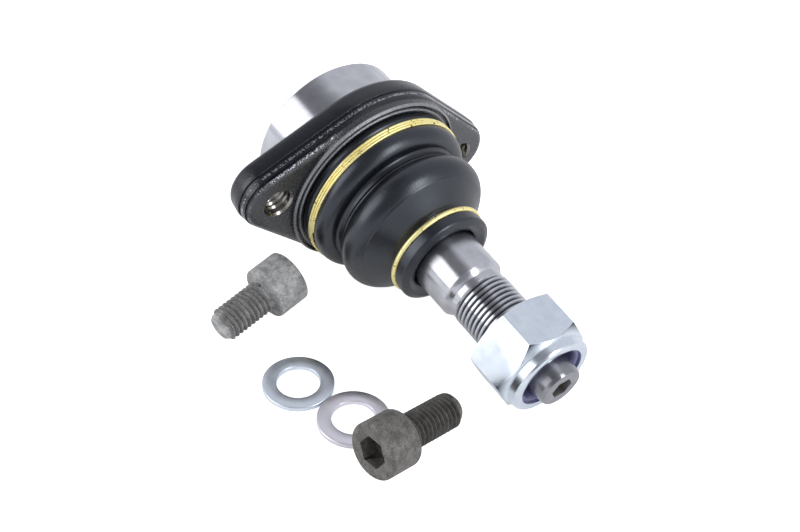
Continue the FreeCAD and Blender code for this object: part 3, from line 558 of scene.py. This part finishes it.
def lathe(name, section, sides=JOINT_SIDES, closed=False):
    """Spins a half section of (along, out) points in mm round the X axis."""
    bpy.ops.object.select_all(action="DESELECT")
    start = Vector((section[0][0], 0, section[0][1])) * MM
    bpy.ops.mesh.primitive_plane_add(size=MM, location=(0, 0, 0))
    piece = bpy.context.object
    piece.name = name
    bpy.ops.object.mode_set(mode="EDIT")
    bpy.ops.mesh.merge(type="CENTER")
    bpy.ops.transform.translate(value=start)
    here = start
    points = list(section[1:])
    if closed:
        points.append(section[0])
    for x, out in points:
        there = Vector((x, 0, out)) * MM
        bpy.ops.mesh.extrude_region_move(
            TRANSFORM_OT_translate={"value": there - here})
        here = there
    bpy.ops.mesh.select_all(action="SELECT")
    bpy.ops.mesh.spin(steps=sides, angle=2 * math.pi, center=(0, 0, 0), axis=(1, 0, 0))
    bpy.ops.mesh.select_all(action="SELECT")
    bpy.ops.mesh.remove_doubles(threshold=0.002 * MM)
    bpy.ops.mesh.normals_make_consistent(inside=False)
    bpy.ops.object.mode_set(mode="OBJECT")
    return piece


def arc(x, out, radius, start, end, steps):
    """Points of an arc in a half section; angles in degrees from +X."""
    return [(x + radius * math.cos(math.radians(start + (end - start) * i / steps)),
             out + radius * math.sin(math.radians(start + (end - start) * i / steps)))
            for i in range(steps + 1)]


def apply_modifier(piece, kind, **settings):
    """Adds a modifier with its settings and applies it."""
    only(piece)
    bpy.ops.object.modifier_add(type=kind)
    modifier = piece.modifiers[-1]
    for name, value in settings.items():
        setattr(modifier, name, value)
    bpy.ops.object.modifier_apply(modifier=modifier.name)


def hexagonal_bar(width, start, length):
    """A bar to cut with: its flats are width mm apart, two face up and down.
    If a corner comes out on top, the bar is turned by half a flat."""
    bpy.ops.object.select_all(action="DESELECT")
    bpy.ops.mesh.primitive_cylinder_add(
        vertices=6, radius=width / math.sqrt(3) * MM, depth=length * MM,
        location=((start + length / 2) * MM, 0, 0), rotation=(0, math.pi / 2, 0))
    bar = bpy.context.object
    bpy.ops.object.transform_apply(location=True, rotation=True, scale=True)
    angles = sorted(round(math.degrees(math.atan2(v.co.z, v.co.y))) % 60
                    for v in bar.data.vertices)
    if angles[0] != 0:
        bar.data.transform(Matrix.Rotation(math.radians(30), 4, "X"))
    return bar


def cut(piece, tool, how="DIFFERENCE"):
    """Cuts a piece with a tool, which is used up."""
    apply_modifier(piece, "BOOLEAN", operation=how, object=tool, solver="EXACT")
    bpy.data.objects.remove(tool)


def soften(piece, width, angle=30, segments=2):
    """Breaks the hard edges of a piece with a narrow bevel, in mm."""
    apply_modifier(piece, "BEVEL", width=width * MM, segments=segments,
                   limit_method="ANGLE", angle_limit=math.radians(angle),
                   use_clamp_overlap=True)
    only(piece)
    bpy.ops.object.shade_smooth_by_angle(angle=math.radians(35))


def settle(piece, place, body, material, slot, *nodes):
    """Turns a finished piece into its place, gives it its material, hangs it on its body and
    hides the solids that it stands for.
    """
    piece.data.transform(place)
    piece.data.materials.clear()
    piece.data.materials.append(material)
    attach(piece, body)
    if nodes:
        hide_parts(*nodes)
    print(piece.name, "has", len(piece.data.polygons), "faces")

# %% [markdown]
# ## Threads
# A thread is one strip, a pitch wide, with the groove's root as a narrow
# foot on both sides and the crest between. The Screw modifier winds it and
# moves it on by one pitch a turn, as a die does. Near both ends the strip
# sinks to its root, so that no open edge shows.

# %% A thread
def thread(name, start, turns, pitch, crest, root, flat=0.16, sides=60, inward=False):
    """A helical thread along X in mm; its flat crest is a share of the pitch.
    An inward one has its crest nearer the axis than its root, as in a hole."""
    bpy.ops.object.select_all(action="DESELECT")
    bpy.ops.mesh.primitive_plane_add(size=MM, location=(0, 0, 0))
    strip = bpy.context.object
    strip.name = name
    bpy.ops.object.mode_set(mode="EDIT")
    bpy.ops.mesh.merge(type="CENTER")
    here = Vector((start, 0, root)) * MM
    bpy.ops.transform.translate(value=here)
    foot = 0.05
    flank = 0.5 - flat / 2 - foot
    for share, out in ((foot, root), (foot + flank, crest), (1 - foot - flank, crest),
                       (1 - foot, root), (1, root)):
        there = Vector((start + share * pitch, 0, out)) * MM
        bpy.ops.mesh.extrude_region_move(
            TRANSFORM_OT_translate={"value": there - here})
        here = there
    bpy.ops.object.mode_set(mode="OBJECT")
    apply_modifier(strip, "SCREW", axis="X", angle=2 * math.pi,
                   screw_offset=pitch * MM, iterations=turns, steps=sides,
                   render_steps=sides, use_merge_vertices=False)
    first = start * MM
    last = (start + (turns + 1) * pitch) * MM
    for vertex in strip.data.vertices:
        x, y, z = vertex.co
        near_end = min(x - first, last - x) / (pitch * MM)
        if near_end < 1:
            out = math.hypot(y, z)
            sunk = root * MM + (out - root * MM) * max(near_end, 0) ** 0.5
            vertex.co.y = y * sunk / out
            vertex.co.z = z * sunk / out
    only(strip)
    bpy.ops.object.mode_set(mode="EDIT")
    bpy.ops.mesh.select_all(action="SELECT")
    bpy.ops.mesh.remove_doubles(threshold=0.004 * MM)
    bpy.ops.mesh.normals_make_consistent(inside=inward)
    bpy.ops.object.mode_set(mode="OBJECT")
    bpy.ops.object.shade_smooth_by_angle(angle=math.radians(35))
    return strip

# %% [markdown]
# ## The stud
# One forging, turned and ground: ball, neck, shank, relief, thread and a
# pilot with a socket for a key that stops it turning. The half section
# follows the frame's stud, but under the thread it goes down to the root.

# %% The stud's body
stud_section = ([(-14.14, 0), (-14.14, 5)]
                + arc(0, 0, 15, 160, 34, 30)
                + [(12.53, 8.25), (14, 8.25), (22, 9.85), (38.4, 9.85), (38.6, 10.15),
                   (51.3, 10.15), (51.7, 10.08), (53.0, 9.15), (53.15, 8.9), (53.4, 8.75),
                   (55.2, 8.75), (56.1, 8.15), (81.0, 8.15), (81.5, 7.6), (81.5, 6.6),
                   (89.7, 6.6), (90.1, 6.5), (90.9, 6.15), (91, 6.0), (91, 0)])
stud = lathe("stud", stud_section)
cut(stud, hexagonal_bar(6, start=86, length=8))
cut(stud, lathe("drill_point", [(84.8, 0), (86.05, 3.0), (86.05, 0)], 48))
soften(stud, 0.08)
settle(stud, joint_turn, "stud", stud_steel, "stud_steel", "ball_stud")

# %% The stud's thread
THREAD_PITCH = 1.5
stud_thread = thread("stud_thread", start=54.6, turns=17, pitch=THREAD_PITCH,
                     crest=9.0, root=8.15, flat=0.42)
settle(stud_thread, joint_turn, "stud", stud_steel, "stud_steel")

# %% [markdown]
# ## The lock nut
# The nut starts as a turned blank with both cones, the collar and the
# rolled lip that holds the nylon. A hexagonal bar that overlaps it cuts the
# six flats: where a flat meets the cone, the edge is the arc that every
# nut has. Bevels leave the thin white lines along the edges.

# %% The lock nut
nut_section = [(69.5, 9.65), (69.5, 13.4), (70.75, 15.75), (70.75, 17), CROWN_START,
               CROWN_END, (83.75, 13.3), (83.9, 12.7), (86.2, 12.7), (86.75, 12.35),
               (87.0, 11.7), (87.0, 10.4), (86.85, 10.07), (86.2, 10.07), (86.0, 10.3),
               (86.0, 11.6), (82.0, 11.6), (82.0, 9.05), (70.1, 9.05)]
nut = lathe("nut", nut_section, 144, closed=True)
cut(nut, hexagonal_bar(27, start=60, length=40), "INTERSECT")
soften(nut, 0.16, angle=24, segments=3)
settle(nut, joint_turn, "nut", nut_zinc, "nut_zinc", "lock_nut")

# %% The nylon ring in the nut
insert_section = [(82.05, 9.0), (82.05, 11.55), (85.95, 11.55), (85.95, 9.3),
                  (85.6, 8.9), (84.6, 8.55), (83.0, 8.5), (82.3, 8.7)]
insert = lathe("nylon_ring", insert_section, closed=True)
soften(insert, 0.1)
settle(insert, joint_turn, "nut_carrier", nylon, "insert_nylon", "nut_insert")

# %% [markdown]
# ## The boot
# A rubber boot is moulded in one piece: a base with a groove for the large
# ring, two folds, a cone, a neck with a groove for the small ring and a
# lip that wipes the shank. The mould parts on the inner side of the second
# fold and leaves a fine ridge there. The wall is a closed section, so the
# mouth shows its real thickness.

# %% The boot
boot_section = ([(5.6, 23.2), (5.6, 25.5), (5.85, 25.85), (7.35, 25.9), (7.75, 25.55),
                 (7.85, 25.45), (10.35, 25.45), (10.5, 25.6)]
                + arc(11.8, 21.7, 4.1, 100, 5, 22)
                + arc(17.0, 21.9, 1.15, 190, 262, 7)
                + [(17.55, 20.72), (18.2, 20.98), (18.32, 21.12), (18.46, 21.07)]
                + arc(23.4, 17.7, 5.75, 144, 40, 30)
                + [(28.2, 21.05), (29.5, 19.2), (31.4, 16.6), (32.9, 14.5), (33.35, 14.05),
                   (33.7, 13.85), (35.8, 13.85), (36.0, 13.95), (36.08, 14.3), (36.15, 14.9),
                   (36.35, 15.2), (38.9, 15.2), (39.2, 15.12), (39.5, 14.85), (40.2, 13.6),
                   (40.3, 13.2), (40.2, 12.6), (39.7, 11.3), (39.3, 10.7), (38.8, 10.42),
                   (34.3, 10.42), (33.9, 10.8), (32.0, 12.3), (26.2, 19.9)]
                + arc(23.4, 17.7, 3.5, 60, 150, 12)
                + [(19.4, 18.9), (18.0, 19.4), (15.9, 21.0)]
                + arc(11.8, 21.7, 1.9, 15, 100, 8)
                + [(9.5, 23.2)])
boot = lathe("boot", boot_section, 144, closed=True)
boot.data.transform(joint_turn)
boot.data.materials.append(rubber)
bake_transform(boot)
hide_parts("dust_boot")
print("boot:", len(boot.data.polygons), "faces")

# %% [markdown]
# ## The rings
# Both rings are spring wire, coiled like a key ring and snapped into the
# boot's grooves. The large one is a coil of almost three turns, so one end
# lies on the flange's side and the other on the open side. Its turns touch.
# A coil is a circle that the Screw modifier winds about the axis.

# %% A coil of wire
def coil(name, first_along, radius, wire, pitch, first_angle, sweep):
    """Wire of a diameter, wound about X from an angle over a sweep, both in
    degrees, moving on by a pitch a turn. Its ends are closed."""
    bpy.ops.object.select_all(action="DESELECT")
    bpy.ops.mesh.primitive_circle_add(vertices=16, radius=wire / 2 * MM, location=(0, 0, 0),
                                      rotation=(math.pi / 2, 0, 0))
    ring = bpy.context.object
    ring.name = name
    bpy.ops.object.transform_apply(location=True, rotation=True, scale=True)
    bpy.ops.object.mode_set(mode="EDIT")
    bpy.ops.mesh.select_all(action="SELECT")
    bpy.ops.transform.translate(value=Vector((first_along, 0, radius)) * MM)
    bpy.ops.object.mode_set(mode="OBJECT")
    steps = round(sweep / 2.5)
    apply_modifier(ring, "SCREW", axis="X", angle=math.radians(sweep),
                   screw_offset=pitch * sweep / 360 * MM, iterations=1, steps=steps,
                   render_steps=steps, use_merge_vertices=False)
    ring.data.transform(Matrix.Rotation(math.radians(first_angle - 90), 4, "X"))
    only(ring)
    bpy.ops.object.mode_set(mode="EDIT")
    bpy.ops.mesh.select_all(action="SELECT")
    bpy.ops.mesh.fill_holes(sides=0)
    bpy.ops.mesh.normals_make_consistent(inside=False)
    bpy.ops.object.mode_set(mode="OBJECT")
    bpy.ops.object.shade_smooth_by_angle(angle=math.radians(50))
    return ring


large_ring = coil("large_ring", first_along=8.22, radius=25.87, wire=0.84, pitch=0.84,
                  first_angle=212, sweep=1055)
settle(large_ring, joint_turn, "housing", gold_wire, "ring_steel", "boot_ring_large")
small_ring = coil("small_ring", first_along=35.15, radius=14.95, wire=1.65, pitch=0.1,
                  first_angle=250, sweep=356)
settle(small_ring, joint_turn, "boot_neck", gold_wire, "ring_steel", "boot_ring_small")

# %% [markdown]
# ## Threads in the ears
# The two holes in the ears are tapped. The wall of each is the solid's
# cylinder, and the thread stands on it towards the hole's own axis.

# %% The tapped holes
for number, side in ((1, -1), (2, 1)):
    hole_thread = thread(f"hole_thread_{number}", start=-6.9, turns=5, pitch=THREAD_PITCH,
                         crest=3.7, root=4.27, sides=48, inward=True)
    place = joint_turn @ Matrix.Translation(bolt_hole_centre(side))
    settle(hole_thread, place, "housing", paint, "housing_paint")

# %% [markdown]
# ## Cap screws
# Socket head screws are cold-headed, the socket is punched with a hexagonal
# punch and the thread is rolled. Both heads are alike, only the lengths
# differ. The finish is grey phosphate, and the second one is darker.

# %% The cap screws
HEAD_HEIGHT = 10


def cap_screw(name, length, turns):
    """A screw with its head's underside at 0 and its head towards +X."""
    section = [(-length, 0), (-length, 3.6), (-length + 0.75, 4.12), (-0.6, 4.12), (0, 4.7),
               (0, 7.55), (0.12, 7.85), (0.5, 8.0), (9.3, 8.0), (9.55, 7.93), (9.9, 7.55),
               (HEAD_HEIGHT, 7.3), (HEAD_HEIGHT, 0)]
    screw = lathe(name, section)
    cut(screw, hexagonal_bar(8, start=5, length=10))
    cut(screw, lathe(name + "_drill_point", [(3.5, 0), (5.05, 4.0), (5.05, 0)], 48))
    soften(screw, 0.1)
    rolled = thread(name + "_thread", start=0.4 - length, turns=turns, pitch=THREAD_PITCH,
                    crest=5.0, root=4.05)
    return screw, rolled


def lying(mount, head):
    """Where a screw lies: its axis is the mount's, and the underside of its
    head is a head's height, in mm, behind the mount at the socket's mouth."""
    out = Vector(mount["axis"]).normalized()
    side = Vector((-out.y, out.x, 0)).normalized()
    up = out.cross(side)
    turn = Matrix((out, side, up)).transposed().to_4x4()
    return Matrix.Translation(Vector(mount["pos_m"]) - out * head * MM) @ turn


for number, length, turns, on_head, on_thread in (
        (1, 17, 10, phosphate_light, thread_light),
        (2, 20, 12, phosphate_dark, thread_dark)):
    place = lying(mounts[f"screw_{number}_hex_key"], HEAD_HEIGHT)
    screw, rolled = cap_screw(f"screw_{number}_body", length, turns)
    settle(screw, place, f"screw_{number}", on_head, "screw_steel", f"cap_screw_{number}")
    settle(rolled, place, f"screw_{number}", on_thread, "screw_steel")

# %% [markdown]
# ## Washers
# A flat washer is blanked from strip: the punch rounds one edge and leaves
# a sharper one on the other side. Both came out of the same zinc bath, but
# the second one is warmer in colour.

# %% The washers
washer_section = [(-0.75, 6.1), (-0.6, 6.0), (0.55, 6.0), (0.7, 6.08), (0.75, 6.25),
                  (0.75, 9.7), (0.69, 9.88), (0.55, 10.0), (-0.65, 10.0), (-0.75, 9.9)]
upright = Matrix.Rotation(math.radians(-90), 4, "Y")
for number, finish in ((1, washer_zinc), (2, washer_zinc_warm)):
    washer = lathe(f"washer_{number}_body", washer_section, 128, closed=True)
    soften(washer, 0.06)
    place = Matrix.Translation(Vector(mounts[f"washer_{number}_hole"]["pos_m"])) @ upright
    settle(washer, place, f"washer_{number}", finish, "washer_zinc", f"washer_{number}")

# %% [markdown]
# ## The housing
# The flange's edge has two shallow steps that the solid leaves out. A copy
# of the frame's housing gets them: its mesh is merged and cut at levels
# along the axis, and the new points on the edge are pushed in. The points
# near the bolt holes stay, so that the holes keep their round walls.

# %% The steps in the flange's edge
EDGE_STEPS = ((-0.65 * MM, 0.5 * MM), (1.9 * MM, 0.4 * MM))
STEP_DEPTH = 0.5 * MM
INSIDE_EDGE = 29.2 * MM
ROUND_HOLE = 6 * MM
LEAST_OUTWARD = 0.3


def stepped_forging():
    """The housing with two shallow grooves rolled round the flange's edge."""
    forging = bpy.data.objects.new("housing_forging", bpy.data.objects["housing"].data.copy())
    bpy.context.scene.collection.objects.link(forging)
    forging.data.transform(bpy.data.objects["housing"].matrix_world)
    only(forging)
    bpy.ops.mesh.customdata_custom_splitnormals_clear()
    bpy.ops.object.mode_set(mode="EDIT")
    bpy.ops.mesh.select_all(action="SELECT")
    bpy.ops.mesh.remove_doubles(threshold=0.001 * MM)
    for middle, half in EDGE_STEPS:
        for level in (middle - half, middle - half / 3, middle + half / 3, middle + half):
            bpy.ops.mesh.select_all(action="SELECT")
            bpy.ops.mesh.bisect(plane_co=axis * level, plane_no=axis)
    bpy.ops.object.mode_set(mode="OBJECT")
    to_joint = joint_turn.inverted()
    holes = [bolt_hole_centre(side) for side in (1, -1)]
    moved = 0
    for vertex in forging.data.vertices:
        place = to_joint @ vertex.co
        outward = to_joint.to_3x3() @ vertex.normal
        across = Vector((0, place.y, place.z))
        outward = Vector((0, outward.y, outward.z))
        on_side = outward.length >= LEAST_OUTWARD and outward.dot(across) >= 0
        if across.length < INSIDE_EDGE or not on_side:
            continue
        if min((across - hole).length for hole in holes) < ROUND_HOLE:
            continue
        for middle, half in EDGE_STEPS:
            if abs(place.x - middle) < half / 2:
                vertex.co += joint_turn.to_3x3() @ (-outward.normalized() * STEP_DEPTH)
                moved += 1
    only(forging)
    bpy.ops.object.shade_smooth_by_angle(angle=math.radians(35))
    print("points moved in the flange's edge:", moved)
    return forging


forging = stepped_forging()
forging.data.materials.clear()
forging.data.materials.append(paint)
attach(forging, "housing")
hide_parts("housing")

# %% [markdown]
# ## The pieces that stay as solids
# The cover is a pressed disc and the bearing shell is moulded round the
# ball, so the frame's own solids show them. The housing's solid only gets
# the paint, in case it is shown instead of the forging.

# %% Housing, cover and bearing shell
for node, finish, slot in (("housing", paint, "housing_paint"),
                           ("end_cover", cover_steel, "cover_steel"),
                           ("bearing_shell", acetal, "shell_plastic")):
    piece = bpy.data.objects[node]
    piece.data.materials.clear()
    piece.data.materials.append(finish)
    print("finished:", node)

# %% [markdown]
# ## Table and light
# Everything lies on a white table, which glows for the camera so that it
# shows no grey, and less in what the metal mirrors. The light is that of a
# tent for small goods. A wide panel at the left draws the white bands on
# the turned steel. A narrow one above, at the right of the camera, gives
# the rubber its soft highlights. The room is pale. Two darker places, one
# behind the camera and one overhead, give the metal something dark to show.
# The room is brighter along the horizon, and brightest low beyond the nut.

# %% The table
MIRRORED_GLOW = 0.18
SEEN_GLOW = 0.85
bpy.ops.object.select_all(action="DESELECT")
bpy.ops.mesh.primitive_plane_add(size=6.0, location=(0, 0, table_z - 0.02 * MM))
table_top = bpy.context.object
table_top.name = "table_top"
material, tree, shader = new_material("white_table")
shader.inputs["Base Color"].default_value = linear("F4F4F4")
shader.inputs["Roughness"].default_value = 0.6
path = add(tree, "ShaderNodeLightPath")
mirrored = combine(tree, "MULTIPLY", path.outputs["Is Glossy Ray"], MIRRORED_GLOW)
seen = combine(tree, "MULTIPLY", path.outputs["Is Camera Ray"], SEEN_GLOW)
glow = combine(tree, "MAXIMUM", mirrored, seen)
shader.inputs["Emission Color"].default_value = (1, 1, 1, 1)
link(tree, shader, "Emission Strength", glow)
table_top.data.materials.append(material)

# %% The lamps
LAMP_DISTANCE = 0.9
MIDDLE = Vector((0.03, 0, 0))


def panel(name, towards, width, height, power):
    """A rectangular lamp in a direction from the joint's middle, facing it."""
    data = bpy.data.lights.new(name, "AREA")
    data.shape = "RECTANGLE"
    data.size = width
    data.size_y = height
    data.energy = power
    lamp = bpy.data.objects.new(name, data)
    bpy.context.scene.collection.objects.link(lamp)
    place = Vector(towards).normalized() * LAMP_DISTANCE
    lamp.location = place + MIDDLE
    lamp.rotation_euler = (-place).to_track_quat("-Z", "Y").to_euler()


panel("left_panel", (-0.34, -0.82, 0.457), width=0.67, height=0.69, power=3.1)
panel("front_panel", (0.78, 0.2, 0.56), width=0.24, height=0.6, power=2.9)

# %% The room
world = bpy.data.worlds.new("studio")
bpy.context.scene.world = world
world.use_nodes = True
tree = world.node_tree
background = tree.nodes["Background"]
looking = add(tree, "ShaderNodeTexCoord").outputs["Generated"]


def near(direction, begins, soft):
    """1 for rays near a direction, from where the cosine between them begins."""
    cosine = add(tree, "ShaderNodeVectorMath",
                 {0: looking, 1: Vector(direction).normalized()},
                 operation="DOT_PRODUCT").outputs["Value"]
    return above(tree, cosine, begins, soft)


behind_camera = near((0.66, -0.5, 0.56), 0.78, 0.16)
overhead = near((-0.25, -0.43, 0.87), 0.87, 0.07)
over_horizon = near((0, 0, 1), 0.12, 0.04)
beyond_nut = near((0.94, 0.32, 0.12), 0.93, 0.05)
room = mix_values(tree, behind_camera, 0.85, 0.36)
room = mix_values(tree, overhead, room, 0.27)
room = mix_values(tree, over_horizon, 1.05, room)
room = mix_values(tree, beyond_nut, room, 1.5)
background.inputs["Color"].default_value = linear("F6F8FF")
link(tree, background, "Strength", room)
